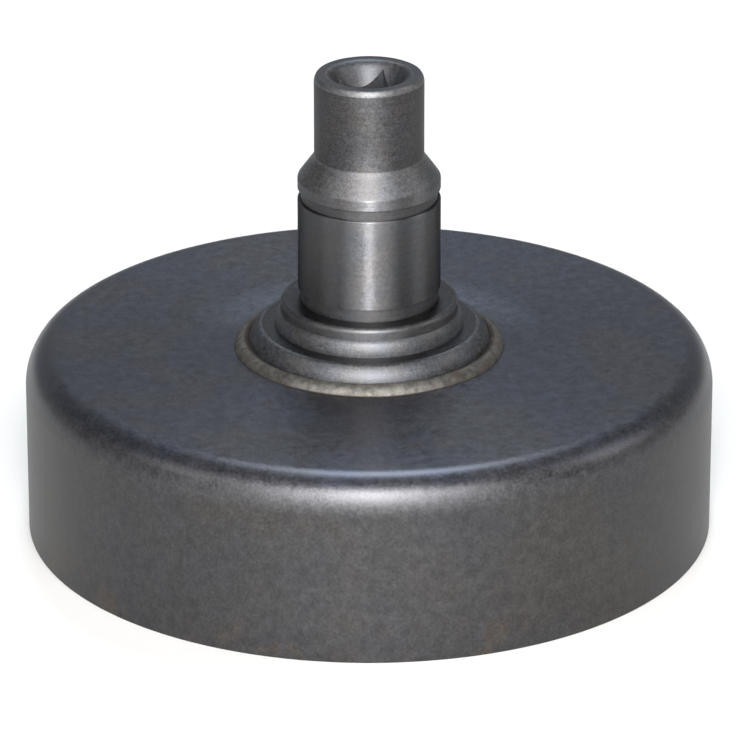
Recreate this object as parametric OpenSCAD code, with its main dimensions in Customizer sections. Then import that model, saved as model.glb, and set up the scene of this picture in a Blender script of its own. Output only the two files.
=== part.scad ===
// Clutch drum of a garden edger: a drawn steel cup, open side down, with a turned hub brazed
// upright on its closed side. The origin is the centre of the open rim and +Z runs up the hub.

/* [Drum cup] */
// Outer diameter of the drawn cup
drum_d = 72.6; // [68:0.1:80]
// Height from the open rim to the outside of the closed plate
drum_h = 20; // [17:0.1:24]
// Thickness of the sheet that the cup is drawn from
sheet_t = 2.3; // [1.5:0.1:2.6]
// Outside radius of the bend's upper half, next to the plate
bend_top_r = 3; // [2.8:0.1:3.6]
// Outside radius of the bend's lower half, next to the wall
bend_side_r = 4.4; // [3.8:0.1:5]
// Rounding of the cut edge at the open rim
rim_round = 0.2; // [0.1:0.05:0.5]

/* [Hub, from the drum upwards] */
// Diameter of the flange that sits on the plate
flange_d = 25.4; // [24.4:0.1:26.4]
// Height of the flange
flange_h = 2.4; // [2.3:0.05:2.6]
// Rounding from the flange's flat top to half-way down its shoulder
flange_top_round = 0.8; // [0.6:0.1:0.9]
// Rounding from half-way down the flange's shoulder to its wall
flange_side_round = 2.8; // [2:0.1:2.8]
// Diameter of the step above the flange
step_d = 19.9; // [19.8:0.1:20.4]
// Height of the step
step_h = 1.65; // [1.6:0.05:2]
// Rounding of the step's upper edge
step_top_round = 1.15; // [1:0.05:1.3]
// Rounding of the step's flank below its upper edge
step_side_round = 2.6; // [2.2:0.1:2.6]
// Elevation that the step's rounded edge faces at its top
step_top_angle = 50; // [46:1:51]
// Elevation faced where the step's two roundings meet
step_meet_angle = 28; // [24:1:29]
// Diameter of the collar that the bearing's inner ring rests against
collar_d = 18.7; // [18:0.1:19.4]
// Height of the collar
collar_h = 1.3; // [1:0.05:1.8]

/* [Shaft] */
// Diameter of the bearing seat, for a bearing of 15 x 35 x 11
seat_d = 15; // [14.9:0.01:15.1]
// Distance from the collar to the retaining ring's groove
bearing_gap = 11.25; // [11:0.05:11.7]
// Height of the relief cut beside the collar
relief_h = 1.4; // [1:0.05:2]
// Depth of the relief cut, on the radius
relief_depth = 0.2; // [0.1:0.05:0.4]
// Width of the retaining ring's groove
groove_w = 1.1; // [1.1:0.05:1.3]
// Diameter at the bottom of the retaining ring's groove
groove_d = 14.3; // [14:0.05:14.6]
// Height of the land above the groove and the cone on it, up to the nose
land_cone_h = 3.6; // [3.4:0.05:4]
// Elevation that the cone faces
cone_angle = 36; // [35:0.5:40]
// Rounding between the cone and the land
cone_round = 0.7; // [0.2:0.1:0.8]
// Diameter of the nose at the top
nose_d = 11.5; // [11.3:0.1:12]
// Width of the rounded edge at the nose's top, on the radius
nose_bevel_w = 0.3; // [0.3:0.05:0.5]
// Elevation that the nose's rounded edge faces at its top
nose_bevel_angle = 41; // [36:1:41]
// Rounding of the nose's edge
nose_round = 1.2; // [0.8:0.1:1.2]
// Height of the whole part
total_h = 50.2; // [49:0.1:52]

/* [Drive socket] */
// Width across the flats of the square socket
square_w = 5.1; // [4.9:0.05:5.3]
// Depth of the square socket from the top
square_depth = 24; // [20:0.5:26]
// Diameter of the socket's mouth, where its rounded lip begins
mouth_d = 9.2; // [9:0.1:9.4]
// Rounding of the mouth's lip
lip_round = 1; // [0.6:0.1:1.2]
// Angle between the wall of the mouth below the lip and the axis
mouth_angle = 32.5; // [28:0.5:38]
// Diameter of the relief bore behind the square, wider than the square's corners
relief_bore_d = 7.8; // [7.6:0.1:9]

/* [Joint of hub and drum] */
// Diameter of the spigot that passes through the plate
spigot_d = 18; // [16:0.1:20]
// Length of spigot that stands out inside the drum
spigot_out = 0.5; // [0.4:0.1:0.8]
// Outer diameter of the brazed bead around the flange
braze_d = 28.6; // [28:0.1:29.2]
// Height of the brazed bead where it meets the flange
braze_h = 0.65; // [0.5:0.05:0.8]

/* [Hidden] */
$fn = 160;

through = 1;
edge_round = 0.5;
spigot_chamfer = 0.3;

plate_z = drum_h;
step_z = plate_z + flange_h;
collar_z = step_z + step_h;
seat_z = collar_z + collar_h;
groove_z = seat_z + bearing_gap;
land_z = groove_z + groove_w;
nose_z = land_z + land_cone_h;
spigot_z = plate_z - sheet_t - spigot_out;
lip_foot_r = mouth_d / 2 - lip_round * cos(mouth_angle);
lip_foot_h = lip_round * (1 - sin(mouth_angle));
mouth_end_r = square_w / 2 - 0.1;
mouth_h = lip_foot_h + (lip_foot_r - mouth_end_r) / tan(mouth_angle);

// Section of a disc from z up to z + h, with its upper edge rounded to an arc
module rounded_disc(d, z, h, round) {
    translate([0, z]) intersection() {
        square([d / 2, h]);
        union() {
            square([d / 2, h - round]);
            square([d / 2 - round, h]);
            translate([d / 2 - round, h - round]) circle(round);
        }
    }
}

// Section of a disc from z up to z + h, whose upper edge is cut to a flank of width w that faces the given
// elevation and blends into the wall with an arc
module flanked_disc(d, z, h, w, elevation, blend) {
    top_r = d / 2 - w;
    centre_r = d / 2 - blend;
    blend_r = centre_r + blend * cos(elevation);
    blend_h = h - (blend_r - top_r) / tan(elevation);
    centre_h = blend_h - blend * sin(elevation);
    translate([0, z]) intersection() {
        square([d / 2, h]);
        union() {
            polygon([
                [0, 0],
                [d / 2, 0],
                [d / 2, centre_h],
                [centre_r, centre_h],
                [blend_r, blend_h],
                [top_r, h],
                [0, h]
            ]);
            translate([centre_r, centre_h]) circle(blend);
        }
    }
}

// Section of a disc from z up to z + h, whose upper edge is an arc that starts out facing the elevation
// top, and from where it faces the elevation meet an arc of a larger radius down to the wall
module shouldered_disc(d, z, h, top_round, side_round, meet = 45, top = 90) {
    spare = side_round - top_round;
    top_centre_r = d / 2 - side_round + spare * cos(meet);
    top_centre_h = h - top_round * sin(top);
    side_h = top_centre_h - spare * sin(meet);
    meet_h = top_centre_h + top_round * sin(meet);
    translate([0, z]) {
        polygon([
            [0, 0],
            [d / 2, 0],
            [d / 2, side_h],
            [top_centre_r + top_round * cos(meet), meet_h],
            [top_centre_r + top_round * cos(top), h],
            [0, h]
        ]);
        intersection() {
            translate([top_centre_r, top_centre_h]) circle(top_round);
            square([d / 2, h]);
        }
        intersection() {
            translate([d / 2 - side_round, side_h]) circle(side_round);
            square([d / 2, meet_h]);
        }
    }
}

// Section of a disc from z up to z + h, with square edges
module plain_disc(d, z, h) {
    translate([0, z]) square([d / 2, h]);
}

// What is taken off a section's lower outer corner at the origin to round it
module rounding(round) {
    difference() {
        translate([0, -round]) square(2 * round);
        translate([0, round]) circle(round);
    }
}

// Deep-drawn cup: a shouldered disc with a smaller one taken out of it, and a hole for the spigot
module drum_cup() {
    color([0.30, 0.30, 0.32])
    difference() {
        rotate_extrude() difference() {
            shouldered_disc(drum_d, 0, drum_h, bend_top_r, bend_side_r);
            shouldered_disc(drum_d - 2 * sheet_t, -through, drum_h - sheet_t + through,
                bend_top_r - sheet_t, bend_side_r - sheet_t);
            translate([drum_d / 2 - rim_round, 0]) rounding(rim_round);
        }
        translate([0, 0, plate_z - sheet_t - through])
            cylinder(d = spigot_d, h = sheet_t + 2 * through);
    }
}

// Outline of the turned hub with no bores in it
module hub_body() {
    rotate_extrude() {
        plain_disc(spigot_d, spigot_z + spigot_chamfer, plate_z - spigot_z);
        polygon([
            [0, spigot_z],
            [spigot_d / 2 - spigot_chamfer, spigot_z],
            [spigot_d / 2, spigot_z + spigot_chamfer],
            [0, spigot_z + spigot_chamfer]
        ]);
        shouldered_disc(flange_d, plate_z, flange_h, flange_top_round, flange_side_round);
        shouldered_disc(step_d, step_z, step_h, step_top_round, step_side_round, step_meet_angle,
            step_top_angle);
        rounded_disc(collar_d, collar_z, collar_h, edge_round);
        plain_disc(seat_d - 2 * relief_depth, seat_z, relief_h);
        plain_disc(seat_d, seat_z + relief_h, bearing_gap - relief_h);
        plain_disc(groove_d, groove_z, groove_w);
        flanked_disc(seat_d, land_z, land_cone_h, (seat_d - nose_d) / 2, cone_angle, cone_round);
        flanked_disc(nose_d, nose_z, total_h - nose_z, nose_bevel_w, nose_bevel_angle, nose_round);
    }
}

// Mouth of the socket: a rounded lip that runs into a cone
module socket_mouth() {
    rotate_extrude() {
        translate([0, total_h]) square([mouth_d / 2, through]);
        difference() {
            polygon([
                [0, total_h],
                [mouth_d / 2, total_h],
                [mouth_d / 2, total_h - lip_foot_h],
                [lip_foot_r, total_h - lip_foot_h],
                [mouth_end_r, total_h - mouth_h],
                [0, total_h - mouth_h]
            ]);
            translate([mouth_d / 2, total_h - lip_round]) circle(lip_round);
        }
    }
}

// Turned hub with its square socket, the socket's mouth and the relief bore
module hub_shaft() {
    color([0.42, 0.42, 0.43])
    difference() {
        hub_body();
        translate([-square_w / 2, -square_w / 2, total_h - square_depth])
            cube([square_w, square_w, square_depth + through]);
        socket_mouth();
        translate([0, 0, spigot_z - through])
            cylinder(d = relief_bore_d, h = total_h - square_depth - spigot_z + through);
    }
}

// Bead of brazing metal in the corner between the flange and the plate, bulging outwards
module braze_ring() {
    bead_w = (braze_d - flange_d) / 2;
    bead_r = (bead_w + braze_h) / 2 + 0.1;
    half_chord = norm([bead_w, braze_h]) / 2;
    sink = sqrt(bead_r * bead_r - half_chord * half_chord) / (2 * half_chord);
    color([0.62, 0.58, 0.53])
    rotate_extrude() difference() {
        intersection() {
            translate([flange_d / 2 - bead_w / 4, plate_z]) square([1.25 * bead_w, 2 * braze_h]);
            translate([flange_d / 2 + bead_w / 2 - sink * braze_h, plate_z + braze_h / 2 - sink * bead_w])
                circle(bead_r);
        }
        shouldered_disc(flange_d, plate_z, flange_h, flange_top_round, flange_side_round);
    }
}

drum_cup();
hub_shaft();
braze_ring();
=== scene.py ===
"""Looks of a garden edger's clutch drum: a drawn steel cup with a turned hub brazed upright on it.

Sections are in millimetres and become metres where a mesh is made.
"""
import math

import bpy
import numpy as np
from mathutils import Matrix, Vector, noise


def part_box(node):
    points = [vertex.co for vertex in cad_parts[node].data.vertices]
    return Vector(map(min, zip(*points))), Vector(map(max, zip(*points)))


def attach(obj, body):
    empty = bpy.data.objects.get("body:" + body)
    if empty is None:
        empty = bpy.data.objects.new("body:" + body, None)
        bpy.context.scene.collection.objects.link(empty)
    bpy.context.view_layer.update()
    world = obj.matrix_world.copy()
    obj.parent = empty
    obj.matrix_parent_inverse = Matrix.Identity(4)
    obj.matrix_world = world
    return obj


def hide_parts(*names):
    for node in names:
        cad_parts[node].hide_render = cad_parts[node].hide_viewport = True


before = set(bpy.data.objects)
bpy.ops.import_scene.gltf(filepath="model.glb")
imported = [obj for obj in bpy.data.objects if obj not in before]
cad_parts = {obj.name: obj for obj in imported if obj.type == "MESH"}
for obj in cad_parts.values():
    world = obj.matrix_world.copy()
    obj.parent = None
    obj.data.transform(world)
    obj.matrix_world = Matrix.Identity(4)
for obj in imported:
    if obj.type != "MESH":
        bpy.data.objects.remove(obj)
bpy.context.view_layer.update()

MM = 0.001

# Sizes read from the frame, in millimetres
cup_low, cup_high = (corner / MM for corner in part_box("drum_cup"))
hub_low, hub_high = (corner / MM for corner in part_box("hub_shaft"))
bead_low, bead_high = (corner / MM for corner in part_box("braze_ring"))
drum_r = cup_high.x
plate_z = cup_high.z
hub_top = hub_high.z
hub_bottom = hub_low.z
flange_r = hub_high.x
bead_r = bead_high.x
bead_top = bead_high.z

# Drum cup: a pair of rounds is (upper, lower), and they meet where the bend faces bend_meet degrees up
sheet = 2.3
bend_rounds = (3.2, 4.66)
bend_meet = 28
rim_round = 0.2
inner_break = 0.15
spigot_r = 9.0

# Hub from the drum upwards: a flank is (width on the radius, elevation it faces, rounding to the wall)
step_z = plate_z + 2.4
flange_rounds = (0.8, 2.8)
step_r = 9.95
collar_z = step_z + 1.65
step_rounds = (1.15, 2.6)
collar_r = 9.35
seat_z = collar_z + 1.3
seat_r = 7.5
relief_z = seat_z + 1.4
relief_r = seat_r - 0.2
groove_z = seat_z + 11.25
groove_r = 7.15
land_z = groove_z + 1.1
nose_z = land_z + 3.6
nose_r = 5.75
cone_flank = (seat_r - nose_r, 36, 0.5)
nose_flank = (0.3, 41, 1.2)
edge_round = 0.5
edge_break = 0.1
seat_break = 0.03
groove_break = 0.16
spigot_chamfer = 0.3

# Drive socket
square_half = 2.55
square_floor = hub_top - 24
mouth_r = 4.6
lip_round = 1.0
mouth_angle = 32.5
relief_bore_r = 3.9

# How finely the round surfaces are divided
DRUM_SEGMENTS = 384
HUB_SEGMENTS = 288
BEAD_SEGMENTS = 640

# The bead's foot meets the plate facing this elevation, and the bead is wider towards one side
BEAD_FOOT = 10.0
BEAD_LEAN = 0.28
BEAD_LEAN_TO = -111.0

# Azimuth pointing away from the camera and the key: the plate behind the hub gets a painted bluish glow
# there, and the bead is painted darker on every side but its front
AWAY_FROM_KEY = 159.0

# Where the photograph was taken from
VIEW_AZIMUTH = -21.0
VIEW_ELEVATION = 23.02
VIEW_DISTANCE = 0.61026
VIEW_HEIGHT = 0.0163
VIEW_ASIDE = 0.00061
LENS = 276.7


def heading(azimuth, elevation):
    """Unit vector from the object towards an azimuth and elevation in degrees; azimuth 0 is at -Y."""
    a = math.radians(azimuth)
    e = math.radians(elevation)
    return Vector((math.sin(a) * math.cos(e), -math.cos(a) * math.cos(e), math.sin(e)))


def arc(centre_r, centre_z, radius, start, end, steps):
    """Points of a section on an arc, its angles in degrees from the outward direction."""
    angles = np.radians(np.linspace(start, end, steps + 1))
    return [(centre_r + radius * math.cos(a), centre_z + radius * math.sin(a)) for a in angles]


def line(start, end, steps):
    """Points of a section on a straight stretch."""
    shares = np.linspace(0, 1, steps + 1)
    return [(start[0] + t * (end[0] - start[0]), start[1] + t * (end[1] - start[1])) for t in shares]


def round_ring(r, z, segments):
    """Ring of points at one radius and height."""
    turn = 2 * math.pi / segments
    return [(r * math.cos(i * turn), r * math.sin(i * turn), z) for i in range(segments)]


def skin(name, rings, zones, materials):
    """Closed tube of faces through rings of points, each ring's faces in its own material zone."""
    segments = len(rings[0])
    verts = [tuple(c * MM for c in point) for ring in rings for point in ring]
    faces = []
    zone_of_face = []
    for i, zone in enumerate(zones):
        here = i * segments
        there = (i + 1) % len(rings) * segments
        for j in range(segments):
            k = (j + 1) % segments
            faces.append((here + j, there + j, there + k, here + k))
            zone_of_face.append(zone)
    mesh = bpy.data.meshes.new(name)
    mesh.from_pydata(verts, [], faces)
    names = list(materials)
    for key in names:
        mesh.materials.append(materials[key])
    mesh.polygons.foreach_set("material_index", [names.index(zone) for zone in zone_of_face])
    mesh.shade_smooth()
    mesh.set_sharp_from_angle(angle=math.radians(28))
    mesh.update()
    piece = bpy.data.objects.new(name, mesh)
    bpy.context.scene.collection.objects.link(piece)
    return piece


def add(tree, kind, inputs=None, **settings):
    """Adds a shader node; an input given a socket is linked to it."""
    made = tree.nodes.new(kind)
    for key, value in settings.items():
        setattr(made, key, value)
    for key, value in (inputs or {}).items():
        if isinstance(value, bpy.types.NodeSocket):
            tree.links.new(value, made.inputs[key])
        else:
            made.inputs[key].default_value = value
    return made


def new_material(name):
    """Material with its tree emptied down to an output and a Principled shader."""
    material = bpy.data.materials.new(name)
    material.use_nodes = True
    tree = material.node_tree
    tree.nodes.clear()
    shader = add(tree, "ShaderNodeBsdfPrincipled")
    output = add(tree, "ShaderNodeOutputMaterial")
    tree.links.new(shader.outputs["BSDF"], output.inputs["Surface"])
    return material, tree, shader


def place(tree):
    """The point in the object's own frame, in millimetres, and the same split into radius and height."""
    coords = add(tree, "ShaderNodeTexCoord").outputs["Object"]
    scaled = add(tree, "ShaderNodeVectorMath", {0: coords, "Scale": 1 / MM}, operation="SCALE")
    point = scaled.outputs["Vector"]
    split = add(tree, "ShaderNodeSeparateXYZ", {"Vector": point})
    flat = add(tree, "ShaderNodeCombineXYZ", {"X": split.outputs["X"], "Y": split.outputs["Y"]})
    radius = add(tree, "ShaderNodeVectorMath", {0: flat.outputs["Vector"]}, operation="LENGTH")
    return point, radius.outputs["Value"], split.outputs["Z"], split


def grain(tree, point, size, detail=3.0, rough=0.55, offset=(0, 0, 0)):
    """Noise whose blotches are about size millimetres across, as a value around 0.5."""
    moved = add(tree, "ShaderNodeVectorMath", {0: point, 1: offset}, operation="ADD")
    made = add(tree, "ShaderNodeTexNoise", {
        "Vector": moved.outputs["Vector"], "Scale": 1 / size, "Detail": detail, "Roughness": rough,
    })
    return made.outputs["Fac"]


def spread(tree, value, low, high, to_low=0.0, to_high=1.0, smooth=True):
    """Maps a value from one span to another, clamped."""
    kind = "SMOOTHSTEP" if smooth else "LINEAR"
    made = add(tree, "ShaderNodeMapRange", {
        "Value": value, "From Min": low, "From Max": high, "To Min": to_low, "To Max": to_high,
    }, interpolation_type=kind)
    return made.outputs["Result"]


def maths(tree, operation, a, b=0.0):
    """One arithmetic step."""
    return add(tree, "ShaderNodeMath", {0: a, 1: b}, operation=operation).outputs["Value"]


def blend_colours(tree, share, first, second, mode="MIX"):
    """Colour between two, by a share from 0 to 1."""
    made = add(tree, "ShaderNodeMix", {"Factor": share}, data_type="RGBA", blend_type=mode)
    for socket, colour in ((made.inputs[6], first), (made.inputs[7], second)):
        if isinstance(colour, bpy.types.NodeSocket):
            tree.links.new(colour, socket)
        else:
            socket.default_value = (*colour, 1.0)
    return made.outputs[2]


def depth_away_from_key(tree, point):
    """How far a point lies towards the side away from the camera and the key, in millimetres; the painted
    glow and painted shade follow it.
    """
    made = add(tree, "ShaderNodeVectorMath", {0: point, 1: heading(AWAY_FROM_KEY, 0)},
               operation="DOT_PRODUCT")
    return made.outputs["Value"]


def grey(tree, value):
    """Grey colour of a value."""
    made = add(tree, "ShaderNodeCombineColor", {"Red": value, "Green": value, "Blue": value})
    return made.outputs["Color"]


def turning_lines(tree, radius, height, split, pitch, along=9.0):
    """Fine lines round the axis, as a lathe leaves them, broken up along their length."""
    r_scaled = maths(tree, "DIVIDE", radius, pitch)
    z_scaled = maths(tree, "DIVIDE", height, pitch)
    x_scaled = maths(tree, "DIVIDE", split.outputs["X"], along)
    y_scaled = maths(tree, "DIVIDE", split.outputs["Y"], along)
    vector = add(tree, "ShaderNodeCombineXYZ", {"X": r_scaled, "Y": z_scaled, "Z": x_scaled})
    made = add(tree, "ShaderNodeTexNoise", {
        "Vector": vector.outputs["Vector"], "W": y_scaled, "Scale": 1.0, "Detail": 2.0,
    }, noise_dimensions="4D")
    return made.outputs["Fac"]


def bumps(tree, *layers):
    """Normal from several heights laid over each other, each with its depth in millimetres."""
    normal = None
    for height, depth in layers:
        inputs = {"Height": height, "Strength": 1.0, "Distance": depth * MM}
        if normal is not None:
            inputs["Normal"] = normal
        normal = add(tree, "ShaderNodeBump", inputs).outputs["Normal"]
    return normal


def across_the_grain(tree, shader, amount):
    """Stretches highlights across marks that run round the axis."""
    shader.inputs["Anisotropic"].default_value = amount
    shader.inputs["Anisotropic Rotation"].default_value = 0.25
    tangent = add(tree, "ShaderNodeTangent", direction_type="RADIAL", axis="Z")
    tree.links.new(tangent.outputs["Tangent"], shader.inputs["Tangent"])


def drum_steel():
    """Drawn sheet steel with a thin grey oxide, bluish on the plate and warmer down the wall; a painted
    bluish glow lies on the plate behind the hub and a painted sheen along the bend.
    """
    material, tree, shader = new_material("drum_steel")
    point, radius, height, split = place(tree)
    clouds = grain(tree, point, 13.0, 3.0, 0.55)
    patches = grain(tree, point, 5.0, 4.0, 0.6, (40, 0, 0))
    mottle = grain(tree, point, 1.1, 3.0, 0.6, (0, 70, 0))
    speck = grain(tree, point, 0.30, 2.0, 0.65)
    fine = grain(tree, point, 0.15, 1.0, 0.5, (0, 0, 90))
    bluish = (0.064, 0.067, 0.084)
    greyish = (0.070, 0.069, 0.078)
    tint = blend_colours(tree, spread(tree, clouds, 0.38, 0.62), bluish, greyish)
    tint = blend_colours(tree, spread(tree, patches, 0.55, 0.75), tint, (0.078, 0.074, 0.075))
    cooler = (0.064, 0.063, 0.067)
    warmer = (0.069, 0.066, 0.064)
    wall = blend_colours(tree, spread(tree, clouds, 0.35, 0.65), cooler, warmer)
    on_wall = spread(tree, height, plate_z - 3.4, plate_z - 0.8, 1.0, 0.0)
    tint = blend_colours(tree, on_wall, tint, wall)
    # Painted reflection: a lighter bluish glow on the plate just behind the hub, standing in for back
    # light thrown down off the hub
    painted_back_glow = maths(tree, "MULTIPLY", spread(tree, radius, 15.5, 21.0, 1.0, 0.0),
                 spread(tree, depth_away_from_key(tree, point), 1.0, 12.0))
    tint = blend_colours(tree, painted_back_glow, tint, (0.104, 0.114, 0.142))
    # Painted highlight: a lighter band round the bend, where the key's highlight falls
    painted_bend_sheen = maths(tree, "MULTIPLY", spread(tree, height, plate_z - 4.2, plate_z - 2.2),
                 spread(tree, height, plate_z - 1.5, plate_z - 0.7, 1.0, 0.0))
    painted_bend_sheen = maths(tree, "MULTIPLY", painted_bend_sheen, spread(tree, patches, 0.25, 0.5, 0.75, 1.0))
    tint = blend_colours(tree, painted_bend_sheen, tint, (0.084, 0.083, 0.088))
    low = spread(tree, height, 1.0, 7.0, 1.0, 0.0)
    brown = maths(tree, "MULTIPLY", low, spread(tree, patches, 0.50, 0.68))
    tint = blend_colours(tree, brown, tint, (0.086, 0.074, 0.065))
    value = maths(tree, "MULTIPLY", spread(tree, mottle, 0.3, 0.7, 0.84, 1.16, False),
                  spread(tree, speck, 0.3, 0.7, 0.80, 1.20, False))
    tint = blend_colours(tree, 1.0, tint, grey(tree, value), "MULTIPLY")
    tree.links.new(tint, shader.inputs["Base Color"])
    shader.inputs["Metallic"].default_value = 0.9
    across_the_grain(tree, shader, 0.25)
    rough = maths(tree, "ADD", spread(tree, speck, 0.3, 0.7, -0.04, 0.04, False),
                  spread(tree, mottle, 0.3, 0.7, -0.03, 0.03, False))
    rough = maths(tree, "ADD", rough, spread(tree, height, plate_z - 3.6, plate_z - 1.2, 0.51, 0.38))
    tree.links.new(rough, shader.inputs["Roughness"])
    grit = maths(tree, "MULTIPLY", speck, spread(tree, height, plate_z - 0.6, plate_z - 0.02, 1.0, 0.35))
    tree.links.new(bumps(tree, (mottle, 0.005), (grit, 0.016), (fine, 0.003)), shader.inputs["Normal"])
    return material


def turned_steel(name, colour, rough, lines, line_depth, patchy, anisotropic=0.0, edge=1.0):
    """Lathe-turned steel of the hub.

    lines is the pitch of the tool marks in millimetres, and edge is how much of the shine stays at a
    glancing view.
    """
    material, tree, shader = new_material(name)
    point, radius, height, split = place(tree)
    clouds = grain(tree, point, 3.2, 3.0, 0.6)
    mottle = grain(tree, point, 0.5, 2.0, 0.55, (0, 30, 0))
    fine = grain(tree, point, 0.2, 2.0, 0.6)
    marks = turning_lines(tree, radius, height, split, lines)
    warm = tuple(c * f for c, f in zip(colour, (1.03, 0.995, 0.98)))
    cool = tuple(c * f for c, f in zip(colour, (0.98, 0.995, 1.05)))
    tint = blend_colours(tree, spread(tree, clouds, 0.38, 0.62), warm, cool)
    soft = 0.55 * patchy
    value = maths(tree, "MULTIPLY", spread(tree, mottle, 0.3, 0.7, 1 - soft, 1 + soft, False),
                  spread(tree, marks, 0.3, 0.7, 0.92, 1.08, False))
    value = maths(tree, "MULTIPLY", value, spread(tree, fine, 0.3, 0.7, 1 - patchy, 1 + patchy, False))
    tint = blend_colours(tree, 1.0, tint, grey(tree, value), "MULTIPLY")
    tree.links.new(tint, shader.inputs["Base Color"])
    shader.inputs["Metallic"].default_value = 1.0
    shader.inputs["Specular Tint"].default_value = (edge, edge, edge, 1)
    if anisotropic:
        across_the_grain(tree, shader, anisotropic)
    spotted = maths(tree, "ADD", spread(tree, fine, 0.3, 0.7, -0.05, 0.07, False),
                    spread(tree, mottle, 0.3, 0.7, rough - 0.04, rough + 0.05, False))
    tree.links.new(spotted, shader.inputs["Roughness"])
    normal = bumps(tree, (mottle, 0.003 + 0.012 * patchy), (fine, 0.008 * patchy), (marks, line_depth))
    tree.links.new(normal, shader.inputs["Normal"])
    return material


def braze_metal():
    """Beige brazing metal with brown stains, painted darker on every side but the front that faces the
    key, with painted shade in the crease against the flange and darker brown at its foot on the plate.
    """
    material, tree, shader = new_material("braze_metal")
    point, radius, height, split = place(tree)
    lumps = grain(tree, point, 0.9, 4.0, 0.65)
    fine = grain(tree, point, 0.2, 2.0, 0.6, (20, 0, 0))
    stains = grain(tree, point, 2.6, 2.0, 0.5, (0, 50, 0))
    lumpy = spread(tree, lumps, 0.35, 0.65)
    tint = blend_colours(tree, lumpy, (0.140, 0.128, 0.114), (0.232, 0.217, 0.197))
    # Painted shade: the bead is darker everywhere but on its front, which faces the key
    painted_side_shade = spread(tree, depth_away_from_key(tree, point), -14.3, -10.5)
    shaded_bead_tint = blend_colours(tree, lumpy, (0.064, 0.058, 0.051), (0.104, 0.097, 0.087))
    tint = blend_colours(tree, painted_side_shade, tint, shaded_bead_tint)
    foot = spread(tree, height, plate_z + 0.03, plate_z + 0.16, 1.0, 0.0)
    tint = blend_colours(tree, foot, tint, (0.055, 0.045, 0.038))
    # Painted shade in the crease where the bead meets the flange, on the shaded sides
    root = maths(tree, "MULTIPLY", spread(tree, radius, flange_r + 0.25, flange_r + 0.75, 1.0, 0.0), painted_side_shade)
    tint = blend_colours(tree, root, tint, (0.036, 0.030, 0.026))
    # Brown stains, kept off the lit front by the painted side shade
    burnt = maths(tree, "MULTIPLY", spread(tree, stains, 0.56, 0.70, 0.0, 0.7), painted_side_shade)
    tint = blend_colours(tree, burnt, tint, (0.085, 0.060, 0.050))
    tree.links.new(tint, shader.inputs["Base Color"])
    shader.inputs["Metallic"].default_value = 0.86
    tree.links.new(spread(tree, fine, 0.3, 0.7, 0.62, 0.76, False), shader.inputs["Roughness"])
    tree.links.new(bumps(tree, (lumps, 0.035), (fine, 0.012)), shader.inputs["Normal"])
    return material


def build_drum():
    """Drawn cup, open below."""
    inner_r = drum_r - sheet
    under_z = plate_z - sheet
    outside = shouldered(drum_r, rim_round, plate_z, bend_rounds, bend_meet)
    inside_rounds = [r - sheet for r in bend_rounds]
    inside = shouldered(inner_r, inner_break, under_z, inside_rounds, bend_meet)
    section = line((spigot_r, plate_z), outside[-1], 24)
    section += outside[-2::-1]
    section += arc(drum_r - rim_round, rim_round, rim_round, 0, -90, 6)[1:]
    section += [(inner_r + inner_break, 0)]
    section += inside
    section += line(inside[-1], (spigot_r, under_z), 16)[1:]
    rings = [round_ring(r, z, DRUM_SEGMENTS) for r, z in section]
    drum = skin("drum", rings, ["drum"] * len(rings), {"drum": drum_steel()})
    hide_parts("drum_cup")
    return drum


def square_radius(angle):
    """Distance from the axis to the wall of the square socket in a direction."""
    return square_half / max(abs(math.cos(angle)), abs(math.sin(angle)))


def mouth_depth(r):
    """How far below the top the socket's mouth lies at a radius: a rounded lip, then a cone."""
    slope = math.radians(mouth_angle)
    foot_r = mouth_r - lip_round * math.cos(slope)
    if r > foot_r:
        return lip_round - math.sqrt(lip_round * lip_round - (mouth_r - r) ** 2)
    return lip_round * (1 - math.sin(slope)) + (foot_r - r) / math.tan(slope)


def socket_rings():
    """Rings of the socket's mouth, each from round to square, and the ring at the square's floor."""
    turn = 2 * math.pi / HUB_SEGMENTS
    mouth = []
    for share in (0.0, 0.03, 0.07, 0.12, 0.18, 0.25, 0.34, 0.46, 0.6, 0.8, 1.0):
        ring = []
        for i in range(HUB_SEGMENTS):
            r = mouth_r + share * (square_radius(i * turn) - mouth_r)
            ring.append((r * math.cos(i * turn), r * math.sin(i * turn), hub_top - mouth_depth(r)))
        mouth.append(ring)
    floor = []
    for i in range(HUB_SEGMENTS):
        wall = square_radius(i * turn)
        floor.append((wall * math.cos(i * turn), wall * math.sin(i * turn), square_floor))
    return mouth, floor


def flanked(r, low_z, high_z, flank, steps=10):
    """Points up a disc whose upper edge is a sloping flank, rounded where it meets the wall."""
    width, facing, blend = flank
    slope = math.radians(facing)
    blend_r = r - blend * (1 - math.cos(slope))
    blend_z = high_z - (blend_r - r + width) / math.tan(slope)
    points = line((r, low_z), (r, blend_z - blend * math.sin(slope)), 3)
    points += arc(r - blend, blend_z - blend * math.sin(slope), blend, 0, facing, steps)[1:]
    return points + line((blend_r, blend_z), (r - width, high_z), 3)[1:]


def shouldered(r, low_z, high_z, rounds, meet=45, top=90):
    """Points up a disc whose upper edge is an arc down to the elevation meet, then a wider arc."""
    top_round, side_round = rounds
    spare = side_round - top_round
    top_z = high_z - top_round * math.sin(math.radians(top))
    side_z = top_z - spare * math.sin(math.radians(meet))
    top_r = r - side_round + spare * math.cos(math.radians(meet))
    points = line((r, low_z), (r, side_z), 6)
    points += arc(r - side_round, side_z, side_round, 0, meet, 14)[1:]
    return points + arc(top_r, top_z, top_round, meet, top, 14)[1:]


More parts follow.
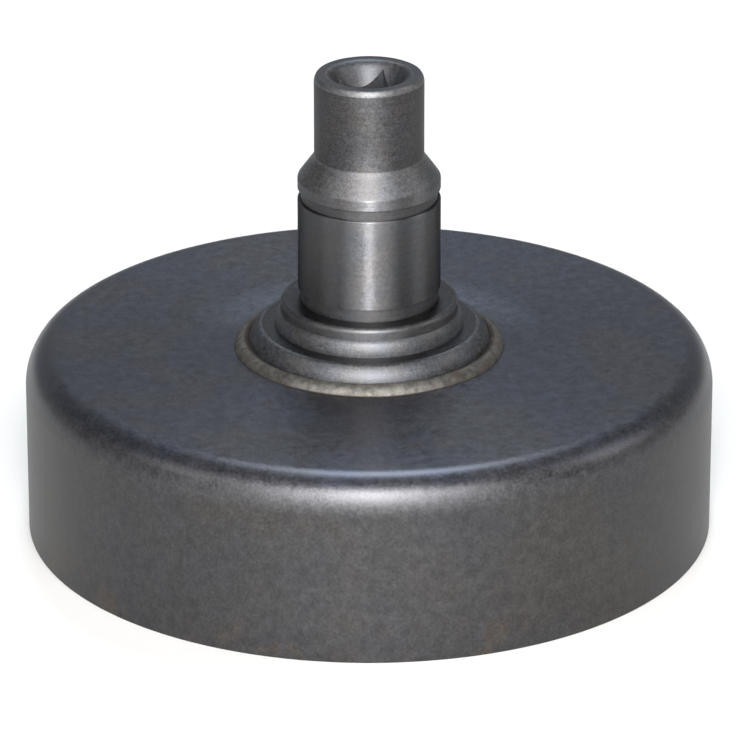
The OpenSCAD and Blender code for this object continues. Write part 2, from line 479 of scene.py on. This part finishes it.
def hub_section():
    """Stretches of the hub's outside as (zone, points), from the spigot up to the nose."""
    flange = shouldered(flange_r, plate_z, step_z, flange_rounds)
    step = shouldered(step_r, step_z, collar_z, step_rounds, 28, 50)
    cone = flanked(seat_r, land_z + edge_break, nose_z, cone_flank, 12)
    nose = flanked(nose_r, nose_z, hub_top, nose_flank, 12)
    nose_edge_r = nose_r - nose_flank[0]
    cone_end = (nose_r + edge_break, nose_z - edge_break / math.tan(math.radians(cone_flank[1])))
    return [
        ("spigot", [(spigot_r - spigot_chamfer, hub_bottom), (spigot_r, hub_bottom + spigot_chamfer)]),
        ("spigot", [(spigot_r, plate_z)]),
        ("flange", flange[:-1]),
        ("shelf", line(flange[-1], (step_r, step_z), 3)[:-1]),
        ("step", step),
        ("collar", [(collar_r, collar_z + 0.02), (collar_r, seat_z - edge_round)]),
        ("collar", arc(collar_r - edge_round, seat_z - edge_round, edge_round, 0, 90, 8)[1:-1]),
        ("ledge", line((collar_r - edge_round, seat_z), (relief_r, seat_z), 3)[:-1]),
        ("relief", [(relief_r, seat_z), (relief_r, relief_z - seat_break)]),
        ("seat", line((seat_r, relief_z + seat_break), (seat_r, groove_z - groove_break), 6)),
        ("rim", arc(seat_r - groove_break, groove_z - groove_break, groove_break, 0, 90, 5)[1:]),
        ("groove", [(groove_r, groove_z), (groove_r, land_z)]),
        ("land", [(seat_r - edge_break, land_z)]),
        ("land", cone[:9]),
        ("rim", cone[9:12]),
        ("cone", cone[12:-1] + [cone_end]),
        ("nose", [(nose_r, nose_z + edge_break)]),
        ("nose", nose[1:6]),
        ("bevel", nose[6:15]),
        ("bevel", [(nose_edge_r + 0.02, hub_top - 0.035)]),
        ("top", [(nose_edge_r - 0.04, hub_top)]),
    ]


def build_hub():
    """Turned hub with its square socket, from the nose's mouth down the socket and up the outside."""
    mouth, floor = socket_rings()
    rings = []
    zones = []
    for zone, points in hub_section():
        for r, z in points:
            rings.append(round_ring(r, z, HUB_SEGMENTS))
            zones.append(zone)
    rings += mouth
    zones += ["mouth"] * (len(mouth) - 1) + ["socket"]
    rings.append(floor)
    zones.append("socket")
    rings.append(round_ring(relief_bore_r, square_floor, HUB_SEGMENTS))
    zones.append("socket")
    rings.append(round_ring(relief_bore_r, hub_bottom + inner_break, HUB_SEGMENTS))
    zones.append("socket")
    rings.append(round_ring(relief_bore_r + inner_break, hub_bottom, HUB_SEGMENTS))
    zones.append("spigot")
    materials = {
        "spigot": turned_steel("hub_spigot", (0.15, 0.15, 0.152), 0.38, 0.10, 0.004, 0.10, 0.4),
        "flange": turned_steel("hub_flange", (0.122, 0.124, 0.128), 0.51, 0.22, 0.003, 0.28, 0.25, 0.5),
        # The shelf is painted dark: painted shade in the recess between the flange and the step
        "shelf": turned_steel("hub_shelf", (0.064, 0.065, 0.068), 0.32, 0.14, 0.003, 0.20, 0.25, 1.0),
        "step": turned_steel("hub_step", (0.128, 0.130, 0.134), 0.51, 0.22, 0.003, 0.28, 0.25, 0.7),
        "collar": turned_steel("hub_collar", (0.125, 0.125, 0.127), 0.46, 0.10, 0.003, 0.16, 0.5, 0.6),
        "ledge": turned_steel("hub_ledge", (0.105, 0.105, 0.108), 0.34, 0.10, 0.003, 0.12, 0.3, 0.6),
        "relief": turned_steel("hub_relief", (0.110, 0.110, 0.112), 0.48, 0.12, 0.004, 0.14, 0.5, 0.5),
        "seat": turned_steel("hub_seat", (0.145, 0.145, 0.147), 0.37, 0.07, 0.002, 0.16, 0.98, 0.25),
        "rim": turned_steel("hub_rim", (0.155, 0.155, 0.157), 0.41, 0.07, 0.002, 0.16, 0.92, 0.5),
        "groove": turned_steel("hub_groove", (0.102, 0.101, 0.101), 0.50, 0.10, 0.003, 0.20, 0.6, 0.6),
        "land": turned_steel("hub_land", (0.175, 0.175, 0.177), 0.40, 0.09, 0.002, 0.24, 0.96, 0.5),
        "cone": turned_steel("hub_cone", (0.138, 0.138, 0.141), 0.52, 0.10, 0.003, 0.32, 0.3, 0.8),
        "nose": turned_steel("hub_nose", (0.086, 0.085, 0.085), 0.50, 0.12, 0.003, 0.32, 0.6, 0.7),
        # The bevel is a lighter copy of the nose steel: a painted highlight on the rounded top edge, where
        # the key shines
        "bevel": turned_steel("hub_bevel", (0.166, 0.166, 0.167), 0.50, 0.12, 0.003, 0.30, 0.4, 0.8),
        "top": turned_steel("hub_top", (0.085, 0.085, 0.087), 0.36, 0.12, 0.003, 0.20),
        "mouth": turned_steel("hub_mouth", (0.108, 0.108, 0.111), 0.50, 0.12, 0.003, 0.26, 0.0, 0.6),
        "socket": turned_steel("hub_socket", (0.13, 0.13, 0.134), 0.55, 0.12, 0.003, 0.20),
    }
    hub = skin("hub", rings, zones, materials)
    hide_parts("hub_shaft")
    return hub


def bead_point(share, width, height):
    """Point of the bead's bulging section, from its root on the flange to its foot on the plate."""
    lean = math.atan2(width, height)
    half = lean - math.radians(BEAD_FOOT)
    radius = math.hypot(width, height) / 2 / math.sin(half)
    facing = lean + half - 2 * half * share
    foot_r = width - radius * math.cos(math.radians(BEAD_FOOT))
    foot_z = -radius * math.sin(math.radians(BEAD_FOOT))
    return foot_r + radius * math.cos(facing), foot_z + radius * math.sin(facing)


def build_bead():
    """Brazed bead around the flange, wider on one side and lumpy as the metal froze."""
    steps = 16
    rings = []
    for j in range(steps + 1):
        share = j / steps
        along = math.sin(math.pi * share) ** 0.6
        ring = []
        for i in range(BEAD_SEGMENTS):
            angle = 2 * math.pi * i / BEAD_SEGMENTS
            flow = Vector((flange_r * math.cos(angle), flange_r * math.sin(angle), 0))
            wider = BEAD_LEAN * math.cos(angle - math.radians(BEAD_LEAN_TO))
            wider += 0.12 * noise.noise(flow * 0.16)
            across, up = bead_point(share, bead_r - flange_r + wider, 0.62)
            spot = flow + Vector((0, 0, up))
            lump = 0.05 * noise.noise(spot * 0.9) + 0.03 * noise.noise(spot * 2.6)
            r = flange_r - 0.03 + across + (lump - 0.02) * along
            ring.append((r * math.cos(angle), r * math.sin(angle), plate_z + up + (lump - 0.02) * along))
        rings.append(ring)
    rings.append(round_ring(flange_r - 0.03, plate_z, BEAD_SEGMENTS))
    bead = skin("braze_bead", rings[::-1], ["bead"] * len(rings), {"bead": braze_metal()})
    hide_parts("braze_ring")
    return bead


def build_floor():
    """Plain pale floor."""
    mesh = bpy.data.meshes.new("floor")
    side = 4.0
    corners = [(-side, -side, 0), (side, -side, 0), (side, side, 0), (-side, side, 0)]
    mesh.from_pydata(corners, [], [(0, 1, 2, 3)])
    material, tree, shader = new_material("floor_paper")
    shader.inputs["Base Color"].default_value = (0.70, 0.692, 0.68, 1)
    shader.inputs["Roughness"].default_value = 0.9
    shader.inputs["Specular IOR Level"].default_value = 0.1
    mesh.materials.append(material)
    floor = bpy.data.objects.new("floor", mesh)
    bpy.context.scene.collection.objects.link(floor)


def soft_light(name, azimuth, elevation, wide, high, radiance, colour=(1, 1, 1), distance=1.2):
    """Rectangular light seen from the drum under the given angles in degrees, aimed at it."""
    light = bpy.data.lights.new(name, "AREA")
    light.shape = "RECTANGLE"
    light.size = 2 * distance * math.tan(math.radians(wide / 2))
    light.size_y = 2 * distance * math.tan(math.radians(high / 2))
    light.energy = radiance * math.pi * light.size * light.size_y
    light.color = colour
    lamp = bpy.data.objects.new(name, light)
    lamp.location = heading(VIEW_AZIMUTH + azimuth, elevation) * distance
    lamp.rotation_euler = lamp.location.to_track_quat("Z", "Y").to_euler()
    lamp.visible_camera = False
    bpy.context.scene.collection.objects.link(lamp)


def build_lights():
    """Soft studio light: boxes above the camera, behind and at each side, in a dim room.

    The key is four boxes of growing width, one close behind the other, so that its edges fade.
    """
    for i, wide in enumerate((34, 50, 66, 82)):
        soft_light("key", 0, 33, wide, 35, 1.95, distance=1.2 + 0.02 * i)
    soft_light("core", 0, 33, 11, 35, 21.0, distance=1.15)
    soft_light("back", 177.5, 59, 14, 20, 16.4, (0.82, 0.92, 1.0))
    soft_light("backdrop", 180, 17, 110, 30, 0.20, (0.90, 0.95, 1.0), distance=1.3)
    soft_light("left", -68, 36, 24, 18, 2.6)
    soft_light("right", 93, 35, 22, 26, 3.0)
    world = bpy.data.worlds.new("room")
    world.use_nodes = True
    shade = world.node_tree.nodes["Background"]
    shade.inputs["Color"].default_value = (0.93, 0.96, 1.0, 1)
    shade.inputs["Strength"].default_value = 0.15
    bpy.context.scene.world = world


def build_camera():
    """Camera at the photograph's viewing angle."""
    data = bpy.data.cameras.new("camera")
    data.lens = LENS
    data.sensor_width = 36.0
    camera = bpy.data.objects.new("camera", data)
    outward = heading(VIEW_AZIMUTH, VIEW_ELEVATION)
    aim = Vector((0, 0, VIEW_HEIGHT))
    camera.location = aim + outward * VIEW_DISTANCE
    right = Vector((0, 0, 1)).cross(outward).normalized()
    looking = camera.location - (aim + right * VIEW_ASIDE)
    camera.rotation_euler = looking.to_track_quat("Z", "Y").to_euler()
    data.clip_start = 0.01
    bpy.context.scene.collection.objects.link(camera)
    bpy.context.scene.camera = camera


build_camera()
for piece in (build_drum(), build_hub(), build_bead()):
    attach(piece, "root")
build_floor()
build_lights()
bpy.context.scene.view_settings.view_transform = "Standard"
